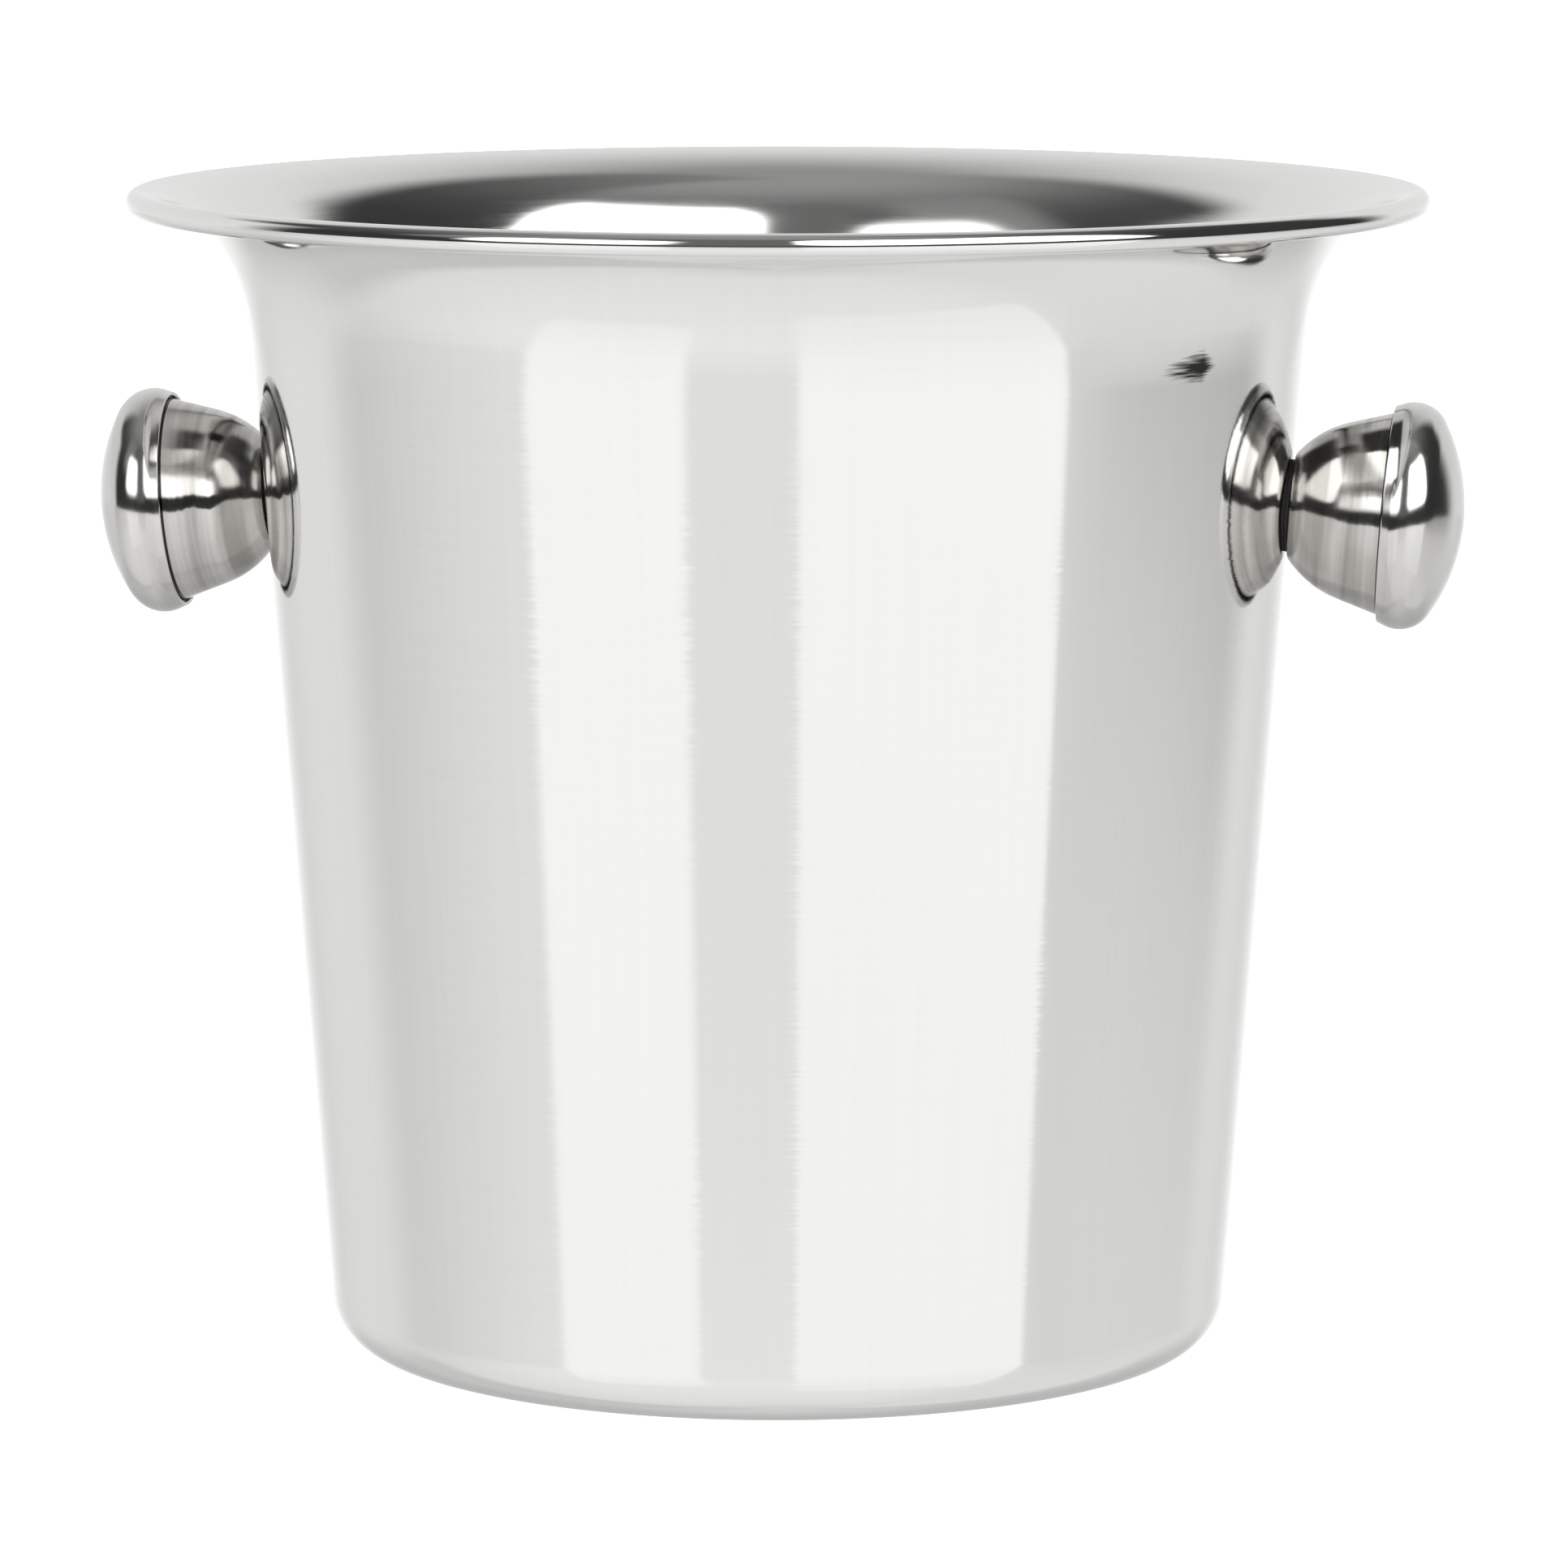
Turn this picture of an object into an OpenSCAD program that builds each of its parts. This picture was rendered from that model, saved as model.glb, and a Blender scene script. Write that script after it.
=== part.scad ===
// Champagne bucket: a one-piece drawn shell with a flared, rolled rim and two
// mushroom knobs, each clamped to the wall by a machine screw from inside.
// Origin: centre of the base where it stands. +Z is up, the knobs are on +X and -X.

/* [Shell] */
// Height of the bucket, from the table to the top of the rim
bucket_h = 198; // [180:1:230]
// Outside diameter over the rolled rim
rim_d = 220; // [205:1:250]
// Thickness of the stainless sheet
sheet_t = 0.6; // [0.5:0.1:1]
// Lean of the straight wall from vertical, in degrees
wall_lean = 4.4; // [2:0.1:6]
// Outside radius of the corner between wall and base
corner_r = 9.5; // [6:0.5:14]

/* [Flare and rim] */
// Radius of the slow bend where the wall starts to open
ease_r = 100; // [60:5:140]
// Lean of the sheet at the end of the slow bend, in degrees
ease_lean = 8.5; // [7:0.5:12]
// Radius of the flare
flare_r = 29.5; // [24:0.5:36]
// Lean of the sheet at the end of the flare, in degrees
flare_lean = 35; // [25:1:45]
// Radius of the tighter bend that carries the lip outwards
lip_r = 19.2; // [15:0.1:24]
// Lean of the sheet where it starts to roll over, in degrees
lip_lean = 82.5; // [75:0.5:88]
// Outside radius of the rolled bead
bead_r = 2; // [1.6:0.1:3]
// Lean at which the bead's roll ends, in degrees, just short of the lip
roll_end = 355; // [300:5:360]

/* [Base] */
// Radius of the raised panel in the middle of the base
panel_r = 54; // [40:1:58]
// Height of the raised panel over the standing ring
panel_h = 1.6; // [0.8:0.1:3]

/* [Knobs] */
// Height at which the knob's axis meets the wall
knob_z = 145; // [120:0.1:155]
// Distance from the wall to the tip of the knob
knob_len = 29.5; // [24:0.5:36]
// Radius of the narrow end of the knob's cup
neck_r = 8.9; // [7:0.1:10]
// Lean of the cup's wall at its narrow end, in degrees
neck_lean = 52; // [40:1:60]
// Radius of the cup where the cap's skirt starts
mouth_r = 17; // [14:0.1:18]
// Lean of the cup's wall near its mouth, in degrees
mouth_lean = 17; // [10:1:20]
// Distance from the wall to the edge of the cap's skirt
skirt_z = 16.2; // [14:0.1:19]
// Sheet thickness of the cup and the cap
knob_t = 0.7; // [0.5:0.1:1]
// Largest radius of the cap
cap_r = 19.25; // [17:0.05:22]
// Radius of the cap's domed face
dome_r = 32; // [26:1:45]
// Radius of the cap's soft corner
cap_corner_r = 6; // [3:0.5:7]
// Lean of the cap's skirt, in degrees
skirt_lean = 22; // [15:1:28]

/* [Fasteners] */
// Thread radius of the M5 screw
screw_r = 2.5; // [2:0.5:3]
// Length of the screw under its head
screw_len = 12; // [10:1:16]
// Radius of the pan head
head_r = 4.75; // [4:0.05:6]
// Height of the pan head
head_h = 3; // [2.5:0.1:4]
// Radius of the clearance holes for the screw
hole_r = 2.75; // [2.6:0.05:3.2]
// Radius of the steel washer and of the seal under it
washer_r = 6.5; // [6:0.1:8]
// Thickness of the steel washer
washer_t = 1; // [0.8:0.1:1.6]
// Thickness of the inner seal on the knob's axis
seal_t = 1.2; // [1:0.1:2]
// Radius of the black gasket between knob and wall
gasket_r = 7.8; // [6:0.1:8.5]
// Thickness of the gasket on the knob's axis
gasket_t = 0.4; // [0.2:0.1:1.5]
// Radius of the threaded bush inside the cup
bush_r = 6; // [5:0.1:7]
// Length of the threaded bush
bush_len = 9; // [7:0.5:11]

/* [Hidden] */
$fn = 96;

LEFT = -1;
RIGHT = 1;
arc_step = 6;       // turn of one facet of an outline, in degrees
min_turn = 0.2;     // smallest last facet, as a share of arc_step
eps = 0.01;
seam_gap = 0.05;    // gap between the cup's lip and the cap
slot_w = 1.3;       // arm width of the cross recess
slot_depth = 1.7;
slot_len = 5.6;
head_edge_r = 1.6;  // rounding of the pan head
bush_chamfer = 0.8;
lip_t = 0.7;        // thickness of the cup's lip
gasket_reach = 1;   // how far the gasket's blank goes into the wall, before it is cut to the wall
lip_z = 1.2;        // depth of the cup's lip inside the skirt's edge

// Rim and flare, worked out downwards from the rim
bead_c = [rim_d / 2 - bead_r, bucket_h - bead_r];
lip_c = bead_c + bend(bead_r - sheet_t, lip_lean) - bend(lip_r, lip_lean);
flare_c = lip_c + bend(lip_r, flare_lean) - bend(flare_r, flare_lean);
ease_c = flare_c + bend(flare_r, ease_lean) - bend(ease_r, ease_lean);
flare_start = ease_c + bend(ease_r, wall_lean);

// Wall and bottom corner
foot_r = flare_start[0] - flare_start[1] * tan(wall_lean);
corner_c = [
    wall_r(corner_r) - corner_r / cos(wall_lean),
    corner_r
];
mitre = tan(22.5);  // shift of an offset corner on a 45 degree step

// Knob outline, on an axis that starts at the wall and points outwards
neck_z = gasket_t;
cup_run = skirt_z - neck_z;
cup_arc_r = (mouth_r - neck_r - cup_run * tan(mouth_lean))
    / ((cos(mouth_lean) - cos(neck_lean))
       - tan(mouth_lean) * (sin(neck_lean) - sin(mouth_lean)));
cup_c = [neck_r - cup_arc_r * cos(neck_lean), neck_z + cup_arc_r * sin(neck_lean)];
dome_c = [0, knob_len - dome_r];
dome_end = asin((cap_r - cap_corner_r) / (dome_r - cap_corner_r));
cap_corner_c = [
    cap_r - cap_corner_r,
    dome_c[1] + (dome_r - cap_corner_r) * cos(dome_end)
];

// Point on a bend of the sheet, from the bend's centre, where the sheet leans by lean
function bend(r, lean) = [-r * cos(lean), r * sin(lean)];

// Angles from one to another that stop at each whole arc_step on the way
function stops(from, to) =
    let (s = from < to ? arc_step : -arc_step)
    concat(
        [from],
        [for (a = [s * (floor(from / s) + 1):s:to - s * min_turn]) a],
        [to]
    );

// Points of a bend from one lean to another
function bend_points(c, r, from, to) = [for (a = stops(from, to)) c + bend(r, a)];

// Points of a circle's arc, with angles counted from +X
function arc_points(c, r, from, to) = [for (a = stops(from, to)) c + r * [cos(a), sin(a)]];

function reversed(points) = [for (i = [len(points) - 1:-1:0]) points[i]];

// Outside radius of the straight wall at height z
function wall_r(z) = foot_r + z * tan(wall_lean);

// One face of the shell's sheet from the bottom's centre to the rolled edge.
// t is 0 for the outer face and sheet_t for the inner one.
function shell_face(t) = concat(
    [
        [0, panel_h + t],
        [panel_r + t * mitre, panel_h + t],
        [panel_r + panel_h + t * mitre, t]
    ],
    arc_points(corner_c, corner_r - t, -90, -wall_lean),
    bend_points(ease_c, ease_r + t, wall_lean, ease_lean),
    bend_points(flare_c, flare_r + t, ease_lean, flare_lean),
    bend_points(lip_c, lip_r + t, flare_lean, lip_lean),
    bend_points(bead_c, bead_r - sheet_t + t, lip_lean, roll_end)
);

// One face of the knob's cup, t under the outer one, from the neck to the lip
function cup_face(t) = concat(
    arc_points(cup_c, cup_arc_r - t, -neck_lean, -mouth_lean),
    [[mouth_r + lip_z * tan(mouth_lean) - t / cos(mouth_lean), skirt_z + lip_z]]
);

// One face of the cap, t under the outer one, from the tip to the skirt's edge
function cap_face(t) = concat(
    reversed(arc_points(dome_c, dome_r - t, 90 - dome_end, 90)),
    arc_points(cap_corner_c, cap_corner_r - t, 90 - dome_end, -skirt_lean),
    [[skirt_edge_r(0) - t / cos(skirt_lean), skirt_z]]
);

// Outside radius of the cap's skirt at distance dz from its edge
function skirt_edge_r(dz) =
    cap_corner_c[0] + cap_corner_r * cos(skirt_lean)
    - (cap_corner_c[1] - cap_corner_r * sin(skirt_lean) - skirt_z - dz) * tan(skirt_lean);

// Puts a child whose axis is +Z on the knob's axis, with its origin on the wall
module on_wall(side) {
    translate([side * wall_r(knob_z), 0, knob_z])
        rotate([0, side * (90 + wall_lean), 0])
            children();
}

// The space within the wall's straight part, t inside its outer face
module within_wall(t) {
    inset = t / cos(wall_lean);
    top = flare_start[1];
    translate([0, 0, corner_r])
        cylinder(
            h = top - corner_r,
            r1 = wall_r(corner_r) - inset,
            r2 = wall_r(top) - inset,
            $fn = 720
        );
}

module bucket_shell() {
    color([0.86, 0.86, 0.85])
        difference() {
            rotate_extrude($fn = 180)
                polygon(concat(shell_face(0), reversed(shell_face(sheet_t))));
            for (side = [LEFT, RIGHT])
                on_wall(side)
                    translate([0, 0, -seal_t - 2 * sheet_t])
                        cylinder(h = 4 * sheet_t + seal_t, r = hole_r);
        }
}

// Black washer between the knob's neck and the wall, shaped to the wall
module gasket(side) {
    color([0.08, 0.08, 0.08])
        difference() {
            on_wall(side)
                translate([0, 0, -gasket_reach])
                    cylinder(h = gasket_reach + gasket_t, r = gasket_r);
            within_wall(0);
            on_wall(side)
                translate([0, 0, -2 * gasket_reach])
                    cylinder(h = 4 * gasket_reach, r = hole_r);
        }
}

// Spun sheet cup of the knob: flat neck with a screw hole, and a lip at its mouth
module knob_cup(side) {
    lip_out = skirt_edge_r(lip_z) - knob_t / cos(skirt_lean) - seam_gap;
    inner_face = [for (p = cup_face(knob_t)) if (p[1] > neck_z + knob_t) p];
    lip_in = inner_face[len(inner_face) - 1][0];
    outline = concat(
        [[hole_r, neck_z]],
        cup_face(0),
        [[lip_out, skirt_z + lip_z], [lip_out, skirt_z + lip_z + lip_t]],
        [[lip_in, skirt_z + lip_z + lip_t]],
        reversed(inner_face),
        [[inner_face[0][0], neck_z + knob_t], [hole_r, neck_z + knob_t]]
    );
    color([0.72, 0.72, 0.7])
        on_wall(side)
            rotate_extrude()
                polygon(outline);
}

// Domed sheet cap that closes the cup, its skirt pressed over the cup's lip
module knob_cap(side) {
    color([0.78, 0.78, 0.77])
        on_wall(side)
            rotate_extrude()
                polygon(concat(cap_face(0), reversed(cap_face(knob_t))));
}

// Steel bush fixed in the cup's narrow end, threaded for the screw
module threaded_bush(side) {
    color([0.6, 0.6, 0.58])
        on_wall(side)
            translate([0, 0, neck_z + knob_t])
                rotate_extrude()
                    polygon([
                        [screw_r, 0],
                        [bush_r, 0],
                        [bush_r, bush_len - bush_chamfer],
                        [bush_r - bush_chamfer, bush_len],
                        [screw_r, bush_len]
                    ]);
}

// Rubber seal inside the bucket, shaped to the wall and flat under the washer
module inner_seal(side) {
    color([0.1, 0.1, 0.1])
        intersection() {
            on_wall(side)
                translate([0, 0, -sheet_t - seal_t])
                    difference() {
                        cylinder(h = sheet_t + seal_t, r = washer_r);
                        translate([0, 0, -seal_t])
                            cylinder(h = 2 * sheet_t + 3 * seal_t, r = hole_r);
                    }
            within_wall(sheet_t);
        }
}

module washer(side) {
    color([0.7, 0.7, 0.7])
        on_wall(side)
            translate([0, 0, -sheet_t - seal_t - washer_t])
                difference() {
                    cylinder(h = washer_t, r = washer_r);
                    translate([0, 0, -washer_t])
                        cylinder(h = 3 * washer_t, r = hole_r);
                }
}

// M5 pan-head screw with a cross recess, its head inside the bucket
module screw(side) {
    seat = -sheet_t - seal_t - washer_t;
    head_c = [head_r - head_edge_r, seat - head_h + head_edge_r];
    color([0.66, 0.66, 0.66])
        on_wall(side)
            difference() {
                rotate_extrude()
                    polygon(concat(
                        [[0, seat + screw_len], [0, seat - head_h]],
                        arc_points(head_c, head_edge_r, -90, 0),
                        [[head_r, seat], [screw_r, seat], [screw_r, seat + screw_len]]
                    ));
                translate([0, 0, seat - head_h - eps])
                    for (turn = [0, 90])
                        rotate([0, 0, turn])
                            translate([-slot_len / 2, -slot_w / 2, 0])
                                cube([slot_len, slot_w, slot_depth + eps]);
            }
}

bucket_shell();
gasket(LEFT);  // left_gasket
knob_cup(LEFT);  // left_knob_cup
knob_cap(LEFT);  // left_knob_cap
threaded_bush(LEFT);  // left_threaded_bush
inner_seal(LEFT);  // left_inner_seal
washer(LEFT);  // left_washer
screw(LEFT);  // left_screw
gasket(RIGHT);  // right_gasket
knob_cup(RIGHT);  // right_knob_cup
knob_cap(RIGHT);  // right_knob_cap
threaded_bush(RIGHT);  // right_threaded_bush
inner_seal(RIGHT);  // right_inner_seal
washer(RIGHT);  // right_washer
screw(RIGHT);  // right_screw
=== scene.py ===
"""Looks of the champagne bucket: smooth sheet-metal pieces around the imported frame, in a white studio."""
from collections import namedtuple
from math import asin, ceil, cos, pi, radians, sin, sqrt, tan

import bpy
from mathutils import Matrix, Vector


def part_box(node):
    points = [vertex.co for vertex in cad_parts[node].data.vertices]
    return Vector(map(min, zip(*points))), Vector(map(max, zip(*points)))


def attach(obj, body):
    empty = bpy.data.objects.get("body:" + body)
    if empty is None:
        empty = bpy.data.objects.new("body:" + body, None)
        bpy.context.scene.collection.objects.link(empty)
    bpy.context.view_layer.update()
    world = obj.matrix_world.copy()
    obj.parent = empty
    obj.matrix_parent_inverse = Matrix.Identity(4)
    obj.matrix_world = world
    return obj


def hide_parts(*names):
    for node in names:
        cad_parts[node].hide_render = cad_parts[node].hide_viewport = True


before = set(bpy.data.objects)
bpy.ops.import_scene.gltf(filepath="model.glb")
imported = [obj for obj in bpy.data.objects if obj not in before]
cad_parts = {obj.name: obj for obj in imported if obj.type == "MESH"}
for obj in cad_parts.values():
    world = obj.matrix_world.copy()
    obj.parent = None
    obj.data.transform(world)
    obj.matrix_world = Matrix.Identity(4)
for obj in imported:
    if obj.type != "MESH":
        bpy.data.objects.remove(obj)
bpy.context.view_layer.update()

MM = 0.001

# ---------------------------------------------------------------- sizes, as in the design
# the shell is one sheet, from the base's centre to the rolled rim; leans are measured from upright
_, shell_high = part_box("bucket_shell")
BUCKET_H = shell_high.z
RIM_R = shell_high.y
SHEET_T = 0.6 * MM
WALL_LEAN = radians(4.4)
CORNER_R = 9.5 * MM
EASE_R = 100 * MM
EASE_LEAN = radians(8.5)
FLARE_R = 29.5 * MM
FLARE_LEAN = radians(35)
LIP_R = 19.2 * MM
LIP_LEAN = radians(82.5)
BEAD_R = 2 * MM
ROLL_END = radians(355)
PANEL_R = 54 * MM
PANEL_H = 1.6 * MM
PANEL_STEP_TURN = radians(45)

# a knob is a sheet cup on the wall with a domed cap over its mouth, both turned on the knob's axis
KNOB_LEN = 29.5 * MM
KNOB_T = 0.7 * MM
NECK_R = 8.9 * MM
NECK_LEAN = radians(52)
NECK_BEND = 0.6 * MM
MOUTH_R = 17 * MM
MOUTH_LEAN = radians(17)
SKIRT_Z = 16.2 * MM
CAP_R = 19.25 * MM
DOME_R = 32 * MM
CAP_CORNER_R = 6 * MM
SKIRT_LEAN = radians(22)
LIP_Z = 1.2 * MM
LIP_BEND = 0.9 * MM
LEAST_LIP = 0.05 * MM
SEAM_GAP = 0.05 * MM
# depth along the knob's axis of the painted shade in the seam between cup and cap
SEAM_SHADE_DEPTH = 0.16 * MM

# rubber and washer of the fixing
HOLE_R = 2.75 * MM
GASKET_R = 7.8 * MM
GASKET_T = 0.4 * MM
WASHER_R = 6.5 * MM
WASHER_T = 1 * MM
SEAL_T = 1.2 * MM
RUBBER_EDGE = 0.25 * MM

washer_low, washer_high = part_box("right_washer")
WASHER_DEPTH = SHEET_T + SEAL_T + WASHER_T / 2
KNOB_Z = (washer_low.z + washer_high.z) / 2 - WASHER_DEPTH * sin(WALL_LEAN)

# painted dark reflection on the right of the flare, put into the shell's colour
DARK_REFLECTION_ANGLE = radians(-32.1)
DARK_REFLECTION_HALF_ANGLE = radians(2.4)
DARK_REFLECTION_Z = 172.5 * MM
DARK_REFLECTION_HALF_H = 1.8 * MM
DARK_REFLECTION_SLOPE = -0.07
DARK_REFLECTION_RIGHT = 1.6
DARK_REFLECTION_LEFT = -0.5

# fineness of the meshes
SHELL_SEGMENTS = 240
KNOB_SEGMENTS = 128
RING_SEGMENTS = 64
RING_STEPS = 5
EDGE_STEPS = 6
ARC_STEP = radians(4)
SIDES = {"left": -1, "right": 1}


# ---------------------------------------------------------------- outlines of sheet
def stroll(start, moves):
    """Points (r, z, heading) along the middle of a sheet, from start.

    Moves are ("go", length) or ("turn", radius, angle)."""
    r, z = start
    heading = 0.0
    path = [(r, z, heading)]
    for move in moves:
        if move[0] == "go":
            r += move[1] * cos(heading)
            z += move[1] * sin(heading)
            path.append((r, z, heading))
            continue
        _, radius, angle = move
        side = 1 if angle > 0 else -1
        centre_r = r - side * radius * sin(heading)
        centre_z = z + side * radius * cos(heading)
        steps = max(2, ceil(abs(angle) / ARC_STEP))
        for i in range(1, steps + 1):
            h = heading + angle * i / steps
            path.append((centre_r + side * radius * sin(h), centre_z - side * radius * cos(h), h))
        r, z, heading = path[-1]
    return path


def sheet_outline(path, thickness, round_start):
    """Closed outline (r, z, normal_r, normal_z) of a sheet around its middle path, with rounded edges."""
    half = thickness / 2
    right = [(r + half * sin(h), z - half * cos(h), sin(h), -cos(h)) for r, z, h in path]
    left = [(r - half * sin(h), z + half * cos(h), -sin(h), cos(h)) for r, z, h in path]
    outline = right + edge_round(path[-1], half, 0)
    outline += left[::-1]
    if round_start:
        outline += edge_round(path[0], half, pi)
    return outline


def edge_round(point, half, turn):
    """Points of the half circle that rounds the edge of a sheet, between its two faces."""
    r, z, h = point
    out = []
    for i in range(1, EDGE_STEPS):
        a = h + turn - pi / 2 + pi * i / EDGE_STEPS
        out.append((r + half * cos(a), z + half * sin(a), cos(a), sin(a)))
    return out


def shell_moves():
    """Moves along the middle of the shell's sheet, from the base's centre to the end of the roll."""
    half = SHEET_T / 2
    step_r = PANEL_H / (2 * (1 - cos(PANEL_STEP_TURN)))
    step_run = 2 * step_r * sin(PANEL_STEP_TURN)
    panel = [
        ("go", PANEL_R + PANEL_H / 2 - step_run / 2),
        ("turn", step_r, -PANEL_STEP_TURN),
        ("turn", step_r, PANEL_STEP_TURN),
    ]
    corner = ("turn", CORNER_R - half, pi / 2 - WALL_LEAN)
    rim = [
        ("turn", EASE_R + half, WALL_LEAN - EASE_LEAN),
        ("turn", FLARE_R + half, EASE_LEAN - FLARE_LEAN),
        ("turn", LIP_R + half, FLARE_LEAN - LIP_LEAN),
        ("turn", BEAD_R - half, LIP_LEAN - ROLL_END),
    ]
    # the wall and the standing ring take up what the bends leave of the height and the rim's radius
    wall = height_left(corner, rim) / cos(WALL_LEAN)
    trial = stroll((0, PANEL_H + half), panel + [corner, ("go", wall)] + rim)
    ring = RIM_R - widest(trial)
    return panel + [("go", ring), corner, ("go", wall)] + rim


def height_left(corner, rim):
    """Height that the straight wall has to make up between the corner and the rim's bends."""
    half = SHEET_T / 2
    trial = stroll((0, half), [corner] + rim[:3])
    top_of_bead = (BEAD_R - half) * (1 - sin(LIP_LEAN)) + half
    return BUCKET_H - top_of_bead - trial[-1][1]


def widest(path):
    """Largest radius that the sheet's outside reaches along a path that ends in the bead."""
    before_bead = [p for p in path if p[2] >= pi / 2 - LIP_LEAN - 1e-6]
    r = before_bead[-1][0]
    half = SHEET_T / 2
    return r + (BEAD_R - half) * (1 + cos(LIP_LEAN)) + half


SHELL_PATH = stroll((0, PANEL_H + SHEET_T / 2), shell_moves())
FOOT_R = next(r + SHEET_T / 2 * sin(h) - (z - SHEET_T / 2 * cos(h)) * tan(WALL_LEAN)
              for r, z, h in SHELL_PATH if abs(h - (pi / 2 - WALL_LEAN)) < 1e-6)


def wall_r(z):
    """Outside radius of the straight wall at height z."""
    return FOOT_R + z * tan(WALL_LEAN)


def knob_matrix(side):
    """Places a child whose axis is +Z on a knob's axis, with its origin on the wall."""
    place = Matrix.Translation((side * wall_r(KNOB_Z), 0, KNOB_Z))
    return place @ Matrix.Rotation(side * (pi / 2 + WALL_LEAN), 4, "Y")


# ---------------------------------------------------------------- meshes
def lathe(name, outline, segments, matrix=Matrix.Identity(4), shift=None):
    """Turns a closed outline into a smooth mesh with exact normals.

    Outline points on the axis become poles. shift(point) may move a vertex before the matrix places it."""
    verts, normals, rows = [], [], []
    for r, z, nr, nz in outline:
        if r < 1e-9:
            rows.append([len(verts)])
            verts.append(Vector((0, 0, z)))
            normals.append(Vector((0, 0, 1 if nz > 0 else -1)))
            continue
        row = []
        for i in range(segments):
            a = 2 * pi * i / segments
            row.append(len(verts))
            verts.append(Vector((r * cos(a), r * sin(a), z)))
            normals.append(Vector((nr * cos(a), nr * sin(a), nz)))
        rows.append(row)
    faces = []
    count = len(rows)
    for k in range(count):
        low, high = rows[k], rows[(k + 1) % count]
        if len(low) == 1 and len(high) == 1:
            continue
        for i in range(segments):
            j = (i + 1) % segments
            if len(low) == 1:
                faces.append((low[0], high[j], high[i]))
            elif len(high) == 1:
                faces.append((low[i], low[j], high[0]))
            else:
                faces.append((low[i], low[j], high[j], high[i]))
    if shift:
        verts = [shift(v) for v in verts]
    turn = matrix.to_3x3()
    verts = [matrix @ v for v in verts]
    normals = [(turn @ n).normalized() for n in normals]
    return build_mesh(name, verts, faces, normals)


def build_mesh(name, verts, faces, normals):
    """New object from vertices and faces, shaded smooth, with the given normals if there are any."""
    mesh = bpy.data.meshes.new(name)
    mesh.from_pydata(verts, [], faces)
    mesh.validate()
    mesh.update()
    mesh.shade_smooth()
    if normals:
        mesh.normals_split_custom_set_from_vertices(normals)
    piece = bpy.data.objects.new(name, mesh)
    bpy.context.scene.collection.objects.link(piece)
    return piece


def make_shell():
    outline = sheet_outline(SHELL_PATH, SHEET_T, round_start=False)
    return lathe("shell_sheet", outline, SHELL_SEGMENTS)


def cup_path():
    """Middle of the cup's sheet: flat foot, flare of the neck, straight side and the lip under the cap."""
    half = KNOB_T / 2
    run = SKIRT_Z - GASKET_T
    bend = (MOUTH_R - NECK_R - run * tan(MOUTH_LEAN)) / (
        (cos(MOUTH_LEAN) - cos(NECK_LEAN)) - tan(MOUTH_LEAN) * (sin(NECK_LEAN) - sin(MOUTH_LEAN)))
    tuck = NECK_BEND * tan((pi / 2 - NECK_LEAN) / 2)
    lip_turn = pi / 2 - MOUTH_LEAN
    straight = (run - bend * (sin(NECK_LEAN) - sin(MOUTH_LEAN)) + LIP_Z) / cos(MOUTH_LEAN)
    moves = [
        ("go", NECK_R - tuck - HOLE_R - half),
        ("turn", NECK_BEND - half, pi / 2 - NECK_LEAN),
        ("turn", bend - half, NECK_LEAN - MOUTH_LEAN),
        ("go", straight - LIP_BEND * tan(lip_turn / 2)),
        ("turn", LIP_BEND - half, -lip_turn),
    ]
    start = (HOLE_R + half, GASKET_T + half)
    bend_end_r = stroll(start, moves)[-1][0]
    lip_end_r = skirt_r(LIP_Z) - KNOB_T / cos(SKIRT_LEAN) - SEAM_GAP - half
    return stroll(start, moves + [("go", max(lip_end_r - bend_end_r, LEAST_LIP))])


def cap_corner():
    """Centre (r, z) of the cap's soft corner and the angle where the dome meets it."""
    end = asin((CAP_R - CAP_CORNER_R) / (DOME_R - CAP_CORNER_R))
    z = KNOB_LEN - DOME_R + (DOME_R - CAP_CORNER_R) * cos(end)
    return CAP_R - CAP_CORNER_R, z, end


def skirt_r(dz):
    """Outside radius of the cap's skirt at distance dz from its edge."""
    r, z, _ = cap_corner()
    top_r = r + CAP_CORNER_R * cos(SKIRT_LEAN)
    top_z = z - CAP_CORNER_R * sin(SKIRT_LEAN)
    return top_r - (top_z - SKIRT_Z - dz) * tan(SKIRT_LEAN)


def cap_path():
    """Middle of the cap's sheet: dome, soft corner and straight skirt."""
    half = KNOB_T / 2
    _, corner_z, dome_end = cap_corner()
    skirt = (corner_z - CAP_CORNER_R * sin(SKIRT_LEAN) - SKIRT_Z) / cos(SKIRT_LEAN)
    return stroll((0, KNOB_LEN - half), [
        ("turn", DOME_R - half, -dome_end),
        ("turn", CAP_CORNER_R - half, dome_end - pi / 2 - SKIRT_LEAN),
        ("go", skirt - half),
    ])


def make_cup(side_name):
    outline = sheet_outline(cup_path(), KNOB_T, round_start=True)
    return lathe(side_name + "_cup_sheet", outline, KNOB_SEGMENTS, knob_matrix(SIDES[side_name]))


def make_cap(side_name):
    outline = sheet_outline(cap_path(), KNOB_T, round_start=False)
    return lathe(side_name + "_cap_sheet", outline, KNOB_SEGMENTS, knob_matrix(SIDES[side_name]))


def on_cone(point, side, inset):
    """Knob-axis height at which a line through point, along the knob's axis, meets the wall's face."""
    matrix = knob_matrix(side)
    tries = 8
    z = 0.0
    for _ in range(tries):
        p = matrix @ Vector((point.x, point.y, z))
        gap = sqrt(p.x ** 2 + p.y ** 2) - (wall_r(p.z) - inset / cos(WALL_LEAN))
        z -= gap
    return z


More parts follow.
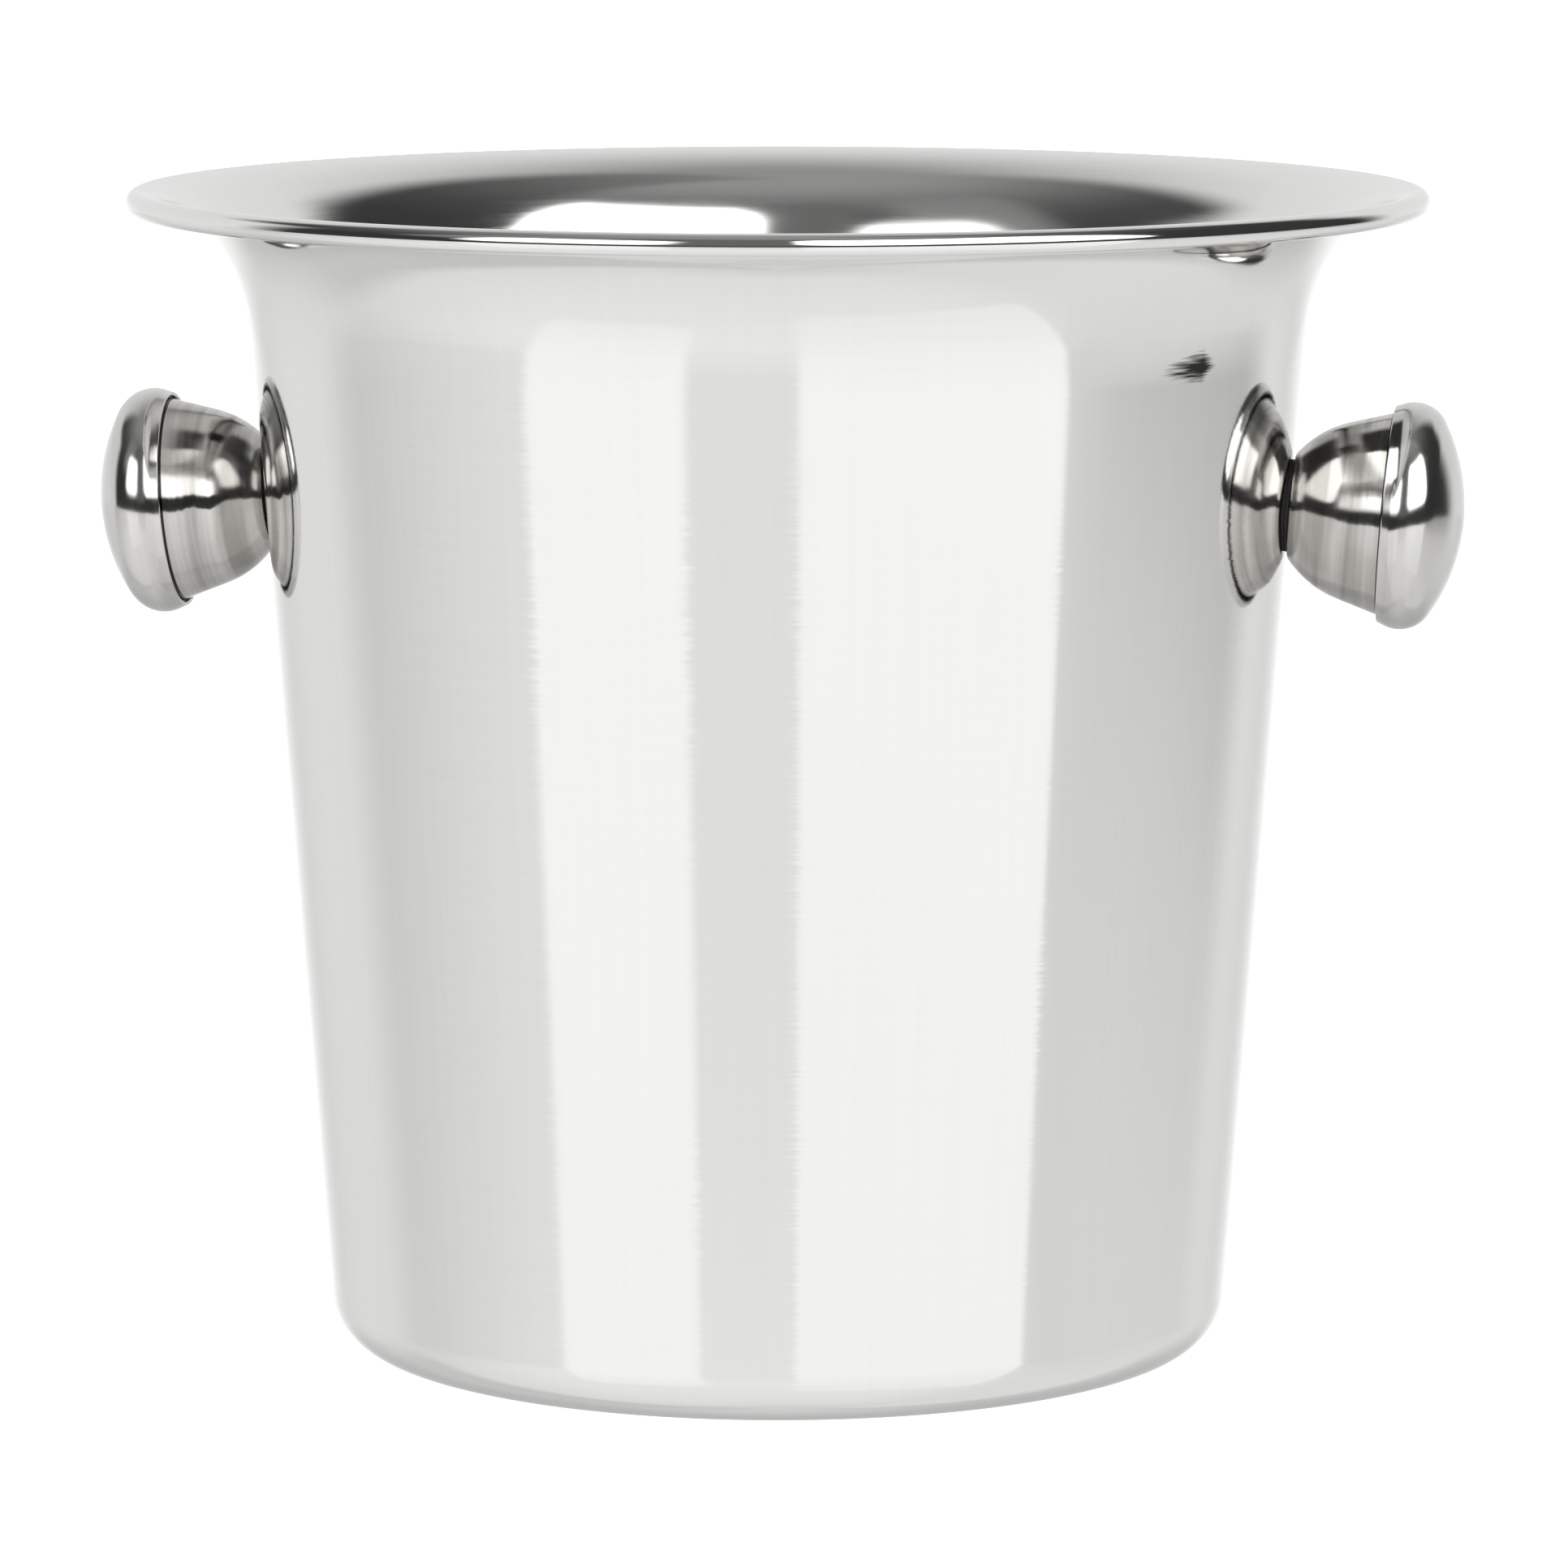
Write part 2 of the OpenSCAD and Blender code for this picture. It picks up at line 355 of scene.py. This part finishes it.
def rubber_ring(name, side, r_out, flat_z, inset):
    """Rubber washer, flat on one side and shaped to the wall's face on the other."""
    edge = min(RUBBER_EDGE, abs(flat_z) / 3)
    cut = edge * 0.3
    diagonal = 0.7071
    up = 1 if flat_z > 0 else -1
    outline = []
    for i in range(RING_STEPS + 1):
        outline.append((HOLE_R + (r_out - edge - HOLE_R) * i / RING_STEPS, flat_z, 0, up))
    outline.append((r_out - cut, flat_z - up * cut, diagonal, diagonal * up))
    outline.append((r_out, flat_z - up * edge, 1, 0))
    outline.append((r_out, 0, diagonal, -diagonal * up))
    for i in range(1, RING_STEPS + 1):
        outline.append((r_out - (r_out - HOLE_R) * i / RING_STEPS, 0, 0, -up))

    def to_wall(v):
        share = 1 - min(abs(v.z) / abs(flat_z), 1)
        return Vector((v.x, v.y, v.z + share * on_cone(v, side, inset)))

    if up > 0:
        outline = outline[::-1]
    return lathe(name, outline, RING_SEGMENTS, knob_matrix(side), to_wall)


# ---------------------------------------------------------------- material nodes
class Nodes:
    """Short calls for building a material's node tree."""

    def __init__(self, name):
        self.material = bpy.data.materials.new(name)
        self.material.use_nodes = True
        self.tree = self.material.node_tree
        self.tree.nodes.clear()
        self.out = self.add("ShaderNodeOutputMaterial")
        self.shader = self.add("ShaderNodeBsdfPrincipled")
        self.link(self.shader.outputs[0], self.out.inputs["Surface"])

    def add(self, kind, **values):
        node = self.tree.nodes.new(kind)
        for key, value in values.items():
            setattr(node, key, value)
        return node

    def link(self, a, b):
        self.tree.links.new(a, b)

    def feed(self, socket, value):
        """Sets a socket to a number or colour, or links it to another node's output."""
        if isinstance(value, bpy.types.NodeSocket):
            self.link(value, socket)
        else:
            socket.default_value = value

    def math(self, operation, a, b=0.0):
        node = self.add("ShaderNodeMath", operation=operation)
        self.feed(node.inputs[0], a)
        self.feed(node.inputs[1], b)
        return node.outputs[0]

    def times(self, a, b):
        return self.math("MULTIPLY", a, b)

    def plus(self, a, b):
        return self.math("ADD", a, b)

    def place(self):
        """Place on the object, in metres."""
        return self.add("ShaderNodeTexCoord").outputs["Object"]

    def combine(self, x, y, z):
        node = self.add("ShaderNodeCombineXYZ")
        for socket, value in zip(node.inputs, (x, y, z)):
            self.feed(socket, value)
        return node.outputs[0]

    def noise(self, vector, scale, detail=2.0, roughness=0.5):
        node = self.add("ShaderNodeTexNoise")
        node.inputs["Scale"].default_value = scale
        node.inputs["Detail"].default_value = detail
        node.inputs["Roughness"].default_value = roughness
        self.link(vector, node.inputs["Vector"])
        return node.outputs["Fac"]

    def span(self, value, low, high, to_low, to_high):
        """Value from low to high turned into to_low to to_high, and held there outside it."""
        node = self.add("ShaderNodeMapRange")
        self.link(value, node.inputs["Value"])
        for key, number in zip(("From Min", "From Max", "To Min", "To Max"), (low, high, to_low, to_high)):
            node.inputs[key].default_value = number
        return node.outputs["Result"]

    def blend(self, share, low, high):
        """Colour low where share is 0, colour high where it is 1."""
        node = self.add("ShaderNodeMix", data_type="RGBA")
        for index, value in ((0, share), (6, low), (7, high)):
            self.feed(node.inputs[index], value)
        return node.outputs[2]

    def bump(self, height, distance, normal=None):
        """Normal that follows a height from 0 to 1 over a distance in metres."""
        node = self.add("ShaderNodeBump")
        node.inputs["Distance"].default_value = distance
        self.link(height, node.inputs["Height"])
        if normal is not None:
            self.link(normal, node.inputs["Normal"])
        return node.outputs["Normal"]


def around_axis(n, centre, axis_turn):
    """(height along the axis, radius, angle around it) of the point being shaded."""
    mapping = n.add("ShaderNodeMapping", vector_type="TEXTURE")
    mapping.inputs["Location"].default_value = centre
    mapping.inputs["Rotation"].default_value = (0, axis_turn, 0)
    n.link(n.place(), mapping.inputs["Vector"])
    split = n.add("ShaderNodeSeparateXYZ")
    n.link(mapping.outputs[0], split.inputs[0])
    x, y, z = split.outputs
    angle = n.math("ARCTAN2", y, x)
    radius = n.math("SQRT", n.plus(n.times(x, x), n.times(y, y)))
    return z, radius, angle


def polished_shell():
    """Bright drawn sheet: slow waves of the pressed form, polishing lines round it, streaks and smears."""
    n = Nodes("polished_shell")
    shader = n.shader
    shader.inputs["Metallic"].default_value = 1.0
    height, radius, angle = around_axis(n, (0, 0, 0), 0)
    # noise drawn out round the bucket for lines, and drawn out upright for streaks
    lines = n.noise(n.combine(n.times(angle, 2.2), 0, n.times(height, 1400.0)), 1.0, 2.0, 0.6)
    streaks = n.noise(n.combine(n.times(angle, 55.0), 0, n.times(height, 9.0)), 1.0, 2.0, 0.5)
    waves = n.noise(n.place(), 22.0, 1.0, 0.4)
    patches = n.noise(n.place(), 30.0, 2.0, 0.5)
    smears = n.noise(n.place(), 60.0, 4.0, 0.6)
    tone = n.plus(n.span(streaks, 0.3, 0.7, 0.0, 0.5), n.span(lines, 0.3, 0.7, 0.0, 0.5))
    shade = n.add("ShaderNodeValToRGB")
    shade.color_ramp.elements[0].color = (0.868, 0.864, 0.85, 1)
    shade.color_ramp.elements[1].color = (0.892, 0.89, 0.878, 1)
    n.link(tone, shade.inputs["Fac"])
    # painted dark reflection on the flare: near-black base colour and a rougher finish where it lies
    dark_reflection_share = paint_dark_reflection(n, height, angle)
    n.link(n.blend(dark_reflection_share, shade.outputs["Color"], (0.04, 0.038, 0.036, 1)), shader.inputs["Base Color"])
    rough = n.plus(n.span(smears, 0.35, 0.7, 0.04, 0.075), n.span(lines, 0.3, 0.7, 0.0, 0.03))
    rough = n.plus(rough, n.times(faces_axis(n, radius), 0.055))
    n.link(n.plus(rough, n.times(dark_reflection_share, 0.2)), shader.inputs["Roughness"])
    form = n.bump(waves, 0.00005)
    form = n.bump(lines, 0.0000008, form)
    depth = n.span(patches, 0.45, 0.65, 0.002, 0.016)
    n.link(sideways(n, form, angle, lines, depth), shader.inputs["Normal"])
    return n.material


def faces_axis(n, radius):
    """1 on faces that look towards the bucket's axis, which are polished less, and 0 on its outside."""
    flat = n.add("ShaderNodeVectorMath", operation="MULTIPLY")
    n.link(n.add("ShaderNodeNewGeometry").outputs["True Normal"], flat.inputs[0])
    flat.inputs[1].default_value = (1, 1, 0)
    out = n.add("ShaderNodeVectorMath", operation="DOT_PRODUCT")
    n.link(flat.outputs[0], out.inputs[0])
    n.link(n.place(), out.inputs[1])
    return n.span(n.math("DIVIDE", out.outputs["Value"], radius), 0.1, -0.1, 0.0, 1.0)


def paint_dark_reflection(n, height, angle):
    """1 on a painted dark reflection on the flare, drawn out to the left along the polishing lines."""
    line_place = n.combine(n.times(angle, 9.0), 7.0, n.times(height, 2600.0))
    streaks = n.noise(line_place, 1.0, 2.0, 0.6)
    u = n.math("DIVIDE", n.math("SUBTRACT", angle, DARK_REFLECTION_ANGLE), DARK_REFLECTION_HALF_ANGLE)
    v = n.math("DIVIDE", n.math("SUBTRACT", height, DARK_REFLECTION_Z), DARK_REFLECTION_HALF_H)
    # it leans a little, and its left part is drawn out and thins towards its end
    v = n.plus(v, n.times(u, DARK_REFLECTION_SLOPE))
    u = n.math("MAXIMUM", n.times(u, DARK_REFLECTION_RIGHT), n.times(u, DARK_REFLECTION_LEFT))
    v = n.times(n.math("ABSOLUTE", v), n.plus(0.85, n.times(u, 0.5)))
    gap = n.math("SQRT", n.plus(n.times(u, u), n.times(v, v)))
    ragged = n.plus(gap, n.span(streaks, 0.3, 0.7, -0.55, 0.55))
    return n.span(ragged, 1.35, 0.55, 0.0, 1.0)


def along_line(n, angle, axis_turn):
    """Direction of the polishing lines, which run round an axis turned by axis_turn from upright."""
    across = n.math("SINE", angle)
    return n.combine(n.times(across, -cos(axis_turn)), n.math("COSINE", angle),
                     n.times(across, sin(axis_turn)))


def sideways(n, normal, angle, lines, depth, axis_turn=0.0):
    """Normal that each polishing line tips a little along itself, which combs the edges of reflections."""
    tip = n.times(n.math("SUBTRACT", lines, 0.5), n.times(depth, 3.0))
    push = n.add("ShaderNodeVectorMath", operation="SCALE")
    n.link(along_line(n, angle, axis_turn), push.inputs[0])
    n.link(tip, push.inputs["Scale"])
    total = n.add("ShaderNodeVectorMath", operation="ADD")
    n.link(normal, total.inputs[0])
    n.link(push.outputs[0], total.inputs[1])
    unit = n.add("ShaderNodeVectorMath", operation="NORMALIZE")
    n.link(total.outputs[0], unit.inputs[0])
    return unit.outputs[0]


KnobFinish = namedtuple("KnobFinish", "dull bright low_rough high_rough wobble spread")
# the cup's two tones are painted shade, darker than the cap's same steel for the shade it sits in by the
# wall; its roughness, wobble and spread are its spun finish
CUP_FINISH_AND_SHADE = KnobFinish(dull=(0.40, 0.39, 0.365, 1), bright=(0.65, 0.64, 0.615, 1),
                        low_rough=0.09, high_rough=0.14, wobble=0.05, spread=0.85)
CAP_FINISH = KnobFinish(dull=(0.64, 0.632, 0.615, 1), bright=(0.75, 0.742, 0.728, 1),
                        low_rough=0.08, high_rough=0.12, wobble=0.025, spread=0.5)
# painted shade in the seam between cup and cap, on the cup's lip and the cap's skirt edge
SEAM_SHADE_COLOR = (0.03, 0.028, 0.025, 1)


def spun_knob(side_name, name, finish, shade_start, shade_full):
    """Turned and polished sheet: fine rings, slow bands and painted shade in the seam between cup and cap.

    The painted shade goes from none at height shade_start to full at shade_full, along the knob's axis."""
    side = SIDES[side_name]
    n = Nodes(side_name + "_" + name)
    shader = n.shader
    shader.inputs["Metallic"].default_value = 1.0
    centre = (side * wall_r(KNOB_Z), 0, KNOB_Z)
    turn = side * (pi / 2 + WALL_LEAN)
    height, radius, angle = around_axis(n, centre, turn)
    along = n.plus(n.times(height, 1100.0), n.times(radius, 700.0))
    lines = n.noise(n.combine(n.times(angle, 0.25), 0, along), 1.0, 3.0, 0.65)
    band_place = n.combine(n.times(angle, 0.2), 3.0, n.times(along, 0.3))
    bands = n.noise(band_place, 1.0, 2.0, 0.5)
    patches = n.noise(n.place(), 90.0, 2.0, 0.5)
    smears = n.noise(n.place(), 140.0, 3.0, 0.6)
    # tone between the finish's two colours in slow bands; on the cup these colours carry painted shade
    metal = n.blend(n.span(bands, 0.35, 0.65, 0.0, 1.0), finish.dull, finish.bright)
    # painted shade in the seam between cup and cap: dark base colour rising along the knob's axis
    seam_shade = n.span(height, shade_start, shade_full, 0.0, 1.0)
    n.link(n.blend(seam_shade, metal, SEAM_SHADE_COLOR), shader.inputs["Base Color"])
    smeared = n.span(smears, 0.35, 0.7, finish.low_rough, finish.high_rough)
    n.link(n.plus(smeared, n.span(lines, 0.3, 0.7, 0.0, 0.05)), shader.inputs["Roughness"])
    form = n.bump(lines, 0.0000025)
    depth = n.span(patches, 0.45, 0.7, finish.wobble * 0.2, finish.wobble)
    n.link(sideways(n, form, angle, bands, depth, turn), shader.inputs["Normal"])
    # the spin lines spread reflections across them, a quarter turn from the lines' own direction
    shader.inputs["Anisotropic"].default_value = finish.spread
    shader.inputs["Anisotropic Rotation"].default_value = 0.25
    n.link(along_line(n, angle, turn), shader.inputs["Tangent"])
    return n.material


def cup_steel(side_name):
    return spun_knob(side_name, "cup_steel", CUP_FINISH_AND_SHADE, SKIRT_Z - SEAM_SHADE_DEPTH, SKIRT_Z - SEAM_SHADE_DEPTH / 3)


def cap_steel(side_name):
    return spun_knob(side_name, "cap_steel", CAP_FINISH, SKIRT_Z + SEAM_SHADE_DEPTH, SKIRT_Z + SEAM_SHADE_DEPTH / 2)


def satin_steel():
    """Fine blasted steel of washers, screws and bushes."""
    n = Nodes("satin_steel")
    n.shader.inputs["Base Color"].default_value = (0.66, 0.655, 0.64, 1)
    n.shader.inputs["Metallic"].default_value = 1.0
    grain = n.noise(n.place(), 900.0, 3.0, 0.6)
    n.link(n.span(grain, 0.3, 0.7, 0.2, 0.34), n.shader.inputs["Roughness"])
    n.link(n.bump(grain, 0.00001), n.shader.inputs["Normal"])
    return n.material


def black_rubber():
    """Matt rubber with a fine grain."""
    n = Nodes("black_rubber")
    grain = n.noise(n.place(), 1500.0, 3.0, 0.6)
    shade = n.add("ShaderNodeValToRGB")
    shade.color_ramp.elements[0].color = (0.012, 0.012, 0.012, 1)
    shade.color_ramp.elements[1].color = (0.03, 0.03, 0.03, 1)
    n.link(grain, shade.inputs["Fac"])
    n.link(shade.outputs["Color"], n.shader.inputs["Base Color"])
    n.link(n.span(grain, 0.3, 0.7, 0.55, 0.75), n.shader.inputs["Roughness"])
    n.link(n.bump(grain, 0.00003), n.shader.inputs["Normal"])
    return n.material


# ---------------------------------------------------------------- pieces
def dress(piece, material, slot, *nodes):
    """Gives a piece its material, hangs it on the root body and hides the nodes that it stands for."""
    piece.data.materials.clear()
    piece.data.materials.append(material)
    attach(piece, "root")
    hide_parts(*nodes)


def build_bucket():
    dress(make_shell(), polished_shell(), "polished_shell", "bucket_shell")
    steel = satin_steel()
    rubber = black_rubber()
    for name, side in SIDES.items():
        dress(make_cup(name), cup_steel(name), "spun_knob_cup", name + "_knob_cup")
        dress(make_cap(name), cap_steel(name), "polished_knob_cap", name + "_knob_cap")
        gasket = rubber_ring(name + "_gasket_ring", side, GASKET_R, GASKET_T, 0)
        dress(gasket, rubber, "black_rubber", name + "_gasket")
        seal = rubber_ring(name + "_seal_ring", side, WASHER_R, -SHEET_T - SEAL_T, SHEET_T)
        dress(seal, rubber, "black_rubber", name + "_inner_seal")
        for part in ("washer", "screw", "threaded_bush"):
            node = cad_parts[name + "_" + part]
            node.data.materials.clear()
            node.data.materials.append(steel)


# ---------------------------------------------------------------- studio
VIEW_AZ = radians(7.0)
CAMERA_D = 1.443
CAMERA_H = 0.2961
CAMERA_PITCH = radians(7.89)
CAMERA_YAW = radians(-0.04)
LENS = 196.1
FLOOR_GAP = 0.2 * MM


def make_camera():
    data = bpy.data.cameras.new("camera")
    data.lens = LENS
    data.sensor_width = 36
    data.clip_end = 100
    camera = bpy.data.objects.new("camera", data)
    bpy.context.scene.collection.objects.link(camera)
    camera.location = (CAMERA_D * sin(VIEW_AZ), -CAMERA_D * cos(VIEW_AZ), CAMERA_H)
    camera.rotation_euler = (pi / 2 - CAMERA_PITCH, 0, VIEW_AZ + CAMERA_YAW)
    bpy.context.scene.camera = camera


def sweep_paint():
    """White paint that glows, so that the floor stays white up to the horizon."""
    n = Nodes("white_sweep")
    n.shader.inputs["Base Color"].default_value = (0.7, 0.7, 0.7, 1)
    n.shader.inputs["Roughness"].default_value = 0.9
    n.shader.inputs["Emission Color"].default_value = (1, 1, 1, 1)
    n.shader.inputs["Emission Strength"].default_value = 0.93
    return n.material


def make_floor():
    """A round white sweep: flat floor, then a wide bend up into a white wall all round."""
    floor_r, bend_r, wall_h = 9.0, 3.0, 6.0
    bend_steps, segments = 12, 96
    points = [(0, 0), (1.0, 0), (floor_r, 0)]
    for i in range(1, bend_steps + 1):
        a = pi / 2 * i / bend_steps
        points.append((floor_r + bend_r * sin(a), bend_r - bend_r * cos(a)))
    points.append((floor_r + bend_r, wall_h))
    verts, faces = [], []
    for r, z in points:
        for i in range(segments):
            a = 2 * pi * i / segments
            verts.append((r * cos(a), r * sin(a), z))
    for k in range(len(points) - 1):
        for i in range(segments):
            j = (i + 1) % segments
            low, high = k * segments, (k + 1) * segments
            faces.append((low + i, low + j, high + j, high + i))
    floor = build_mesh("white_sweep", verts, faces, None)
    floor.data.materials.append(sweep_paint())
    floor.visible_glossy = False
    floor.location.z = -FLOOR_GAP


class WorldNodes(Nodes):
    """Node calls for the light round the object, by direction in degrees."""

    def __init__(self, world):
        self.tree = world.node_tree
        self.tree.nodes.clear()

    def smooth(self, value, low, high):
        """0 at low, 1 at high, with a soft edge between them."""
        node = self.add("ShaderNodeMapRange", interpolation_type="SMOOTHSTEP")
        self.link(value, node.inputs["Value"])
        node.inputs["From Min"].default_value = low
        node.inputs["From Max"].default_value = high
        return node.outputs["Result"]

    def lay(self, under, over, mask):
        """Level under, with level over laid on it where mask is 1."""
        node = self.add("ShaderNodeMix", data_type="FLOAT")
        for index, value in ((0, mask), (2, under), (3, over)):
            self.feed(node.inputs[index], value)
        return node.outputs[0]

    def by_height(self, el, *stops):
        """Level that follows elevation through the stops (degrees, level)."""
        node = self.add("ShaderNodeValToRGB")
        ramp = node.color_ramp
        while len(ramp.elements) < len(stops):
            ramp.elements.new(1)
        for element, (degree, level) in zip(ramp.elements, stops):
            element.position = (degree + 90) / 180
            element.color = (level / RAMP_TOP,) * 3 + (1,)
        self.link(self.math("DIVIDE", self.plus(el, 90.0), 180.0), node.inputs["Fac"])
        return self.times(node.outputs["Color"], RAMP_TOP)

    def panel(self, az, el, az_span, el_span, corner, soft):
        """1 inside a panel with rounded corners and soft edges."""
        reach = []
        for value, (low, high) in ((az, az_span), (el, el_span)):
            off = self.math("ABSOLUTE", self.math("SUBTRACT", value, (low + high) / 2))
            inside = (high - low) / 2 - corner
            reach.append(self.math("MAXIMUM", self.math("SUBTRACT", off, inside), 0.0))
        squares = [self.times(r, r) for r in reach]
        gap = self.math("SQRT", self.plus(*squares))
        return self.smooth(gap, corner + soft / 2, corner - soft / 2)


# levels of light, where 1 is white in the picture; RAMP_TOP is the brightest that a ramp can hold
RAMP_TOP = 2.0
SOFTBOX = 2.2
WHITE = 1.05

# panels: span of azimuth, span of elevation, corner and softness, in degrees
LEFT_SOFTBOX = ((-57.5, -20), (9, 44.5), 9, 7)
RIGHT_SOFTBOX = ((3.5, 70), (9, 57), 11, 3)
LEFT_POOL = ((-57.2, -20.2), (-41, 20), 5, 3.2)
RIGHT_POOL = ((4.4, 66.2), (-49, 20), 4.5, 2.4)
LEFT_GLOW = ((-74, -36), (26, 63), 8, 14)
CAMERA_GLOW = ((-22, 6), (4, 60), 4, 8)


def studio_level(n, az, el):
    """Brightness in a direction: az is 0 at the camera and positive to its right, el is above level."""
    from_front = n.math("ABSOLUTE", n.plus(az, 10.0))
    low_back = n.smooth(n.math("ABSOLUTE", n.math("SUBTRACT", az, 9.0)), 112, 130)
    mid_back = n.smooth(n.math("ABSOLUTE", n.math("SUBTRACT", az, 14.0)), 107, 125)
    high_back = n.smooth(n.math("ABSOLUTE", n.math("SUBTRACT", az, 2.5)), 123, 147)
    behind = n.smooth(n.math("ABSOLUTE", az), 148, 176)

    # white table: brighter in front, with pools of the softboxes' light
    table = n.by_height(el, (-90, 0.68), (-75, 0.77), (-48, 0.79), (-30, 0.75), (-20, 0.70), (-9, 0.62))
    front = n.by_height(el, (-90, 0.70), (-78, 0.81), (-62, 0.845), (-50, 0.866), (-38, 0.89),
                        (-27, 0.90), (-21, 0.87), (-18.5, 0.825), (-9, 0.83))
    back = n.by_height(el, (-90, 0.66), (-60, 0.60), (-35, 0.62), (-22, 0.75), (-8, 0.80))
    table = n.lay(table, front, n.smooth(from_front, 105, 40))
    side = n.by_height(el, (-90, 0.68), (-75, 0.77), (-48, 0.79), (-34, 0.77), (-20, 0.75),
                       (-16, 0.73), (-13, 0.67), (-11, 0.58), (-9, 0.50), (-6, 0.42))
    table = n.lay(table, side, n.smooth(az, 66, 84))
    table = n.lay(table, back, low_back)
    far_back = n.by_height(el, (-90, 0.74), (-68, 0.63), (-57, 0.55), (-48, 0.52), (-33, 0.51),
                           (-24, 0.58), (-17, 0.70))
    table = n.lay(table, far_back, n.smooth(n.math("ABSOLUTE", az), 130, 160))
    table = n.lay(table, WHITE, n.times(behind, n.smooth(el, -23, -14)))
    left_pool = n.by_height(el, (-60, 0.86), (-38, 0.95), (-28, 0.99), (-12, 1.035))
    right_pool = n.by_height(el, (-60, 0.87), (-48, 0.915), (-38, 0.945), (-28, 0.97),
                             (-18, 1.01), (-12, 1.04))
    table = n.lay(table, left_pool, n.panel(az, el, *LEFT_POOL))
    table = n.lay(table, right_pool, n.panel(az, el, *RIGHT_POOL))

    # dark room with a grey ceiling, a white sweep at the back and two softboxes beside the camera
    room = n.by_height(el, (-8, 0.042), (20, 0.036), (30, 0.05), (44, 0.07), (50, 0.10),
                       (57, 0.15), (63, 0.20), (70, 0.26), (78, 0.30), (90, 0.31))
    dim = n.by_height(el, (-8, 0.036), (40, 0.042), (50, 0.06), (58, 0.09), (66, 0.13),
                      (76, 0.18), (90, 0.26))
    room = n.lay(room, dim, n.smooth(az, 62, 86))
    room = n.lay(room, 0.23, n.panel(az, el, *LEFT_GLOW))
    room = n.lay(room, 0.14, n.panel(az, el, *CAMERA_GLOW))
    sweep = n.by_height(el, (-8, 0.82), (8, 0.80), (30, 0.765), (45, 0.66), (58, 0.50),
                        (66, 0.40), (72, 0.32), (78, 0.30))
    room = n.lay(room, sweep, high_back)
    room = n.lay(room, sweep, n.times(mid_back, n.smooth(el, 37, 27)))
    room = n.lay(room, WHITE, n.times(behind, n.smooth(el, 4, -4)))
    room = n.lay(room, SOFTBOX, n.panel(az, el, *LEFT_SOFTBOX))
    room = n.lay(room, SOFTBOX, n.panel(az, el, *RIGHT_SOFTBOX))
    return n.lay(table, room, n.smooth(el, -7.5, -6))


def make_world():
    world = bpy.data.worlds.new("studio")
    bpy.context.scene.world = world
    world.use_nodes = True
    n = WorldNodes(world)
    out = n.add("ShaderNodeOutputWorld")
    back = n.add("ShaderNodeBackground")
    n.link(back.outputs[0], out.inputs[0])
    turn = n.add("ShaderNodeMapping", vector_type="TEXTURE")
    turn.inputs["Rotation"].default_value = (0, 0, VIEW_AZ)
    n.link(n.add("ShaderNodeTexCoord").outputs["Generated"], turn.inputs["Vector"])
    split = n.add("ShaderNodeSeparateXYZ")
    n.link(turn.outputs[0], split.inputs[0])
    x, y, z = split.outputs
    az = n.times(n.math("ARCTAN2", x, n.times(y, -1.0)), 180 / pi)
    el = n.times(n.math("ARCSINE", z), 180 / pi)
    level = studio_level(n, az, el)
    n.link(n.combine(level, level, level), back.inputs["Color"])
    back.inputs["Strength"].default_value = 1.0


def make_lights():
    data = bpy.data.lights.new("overhead", "AREA")
    data.shape = "DISK"
    data.size = 3.0
    data.energy = 120
    light = bpy.data.objects.new("overhead", data)
    light.location = (0, 0, 3.0)
    light.visible_glossy = False
    bpy.context.scene.collection.objects.link(light)


build_bucket()
make_camera()
make_floor()
make_world()
make_lights()
bpy.context.scene.view_settings.view_transform = "Standard"
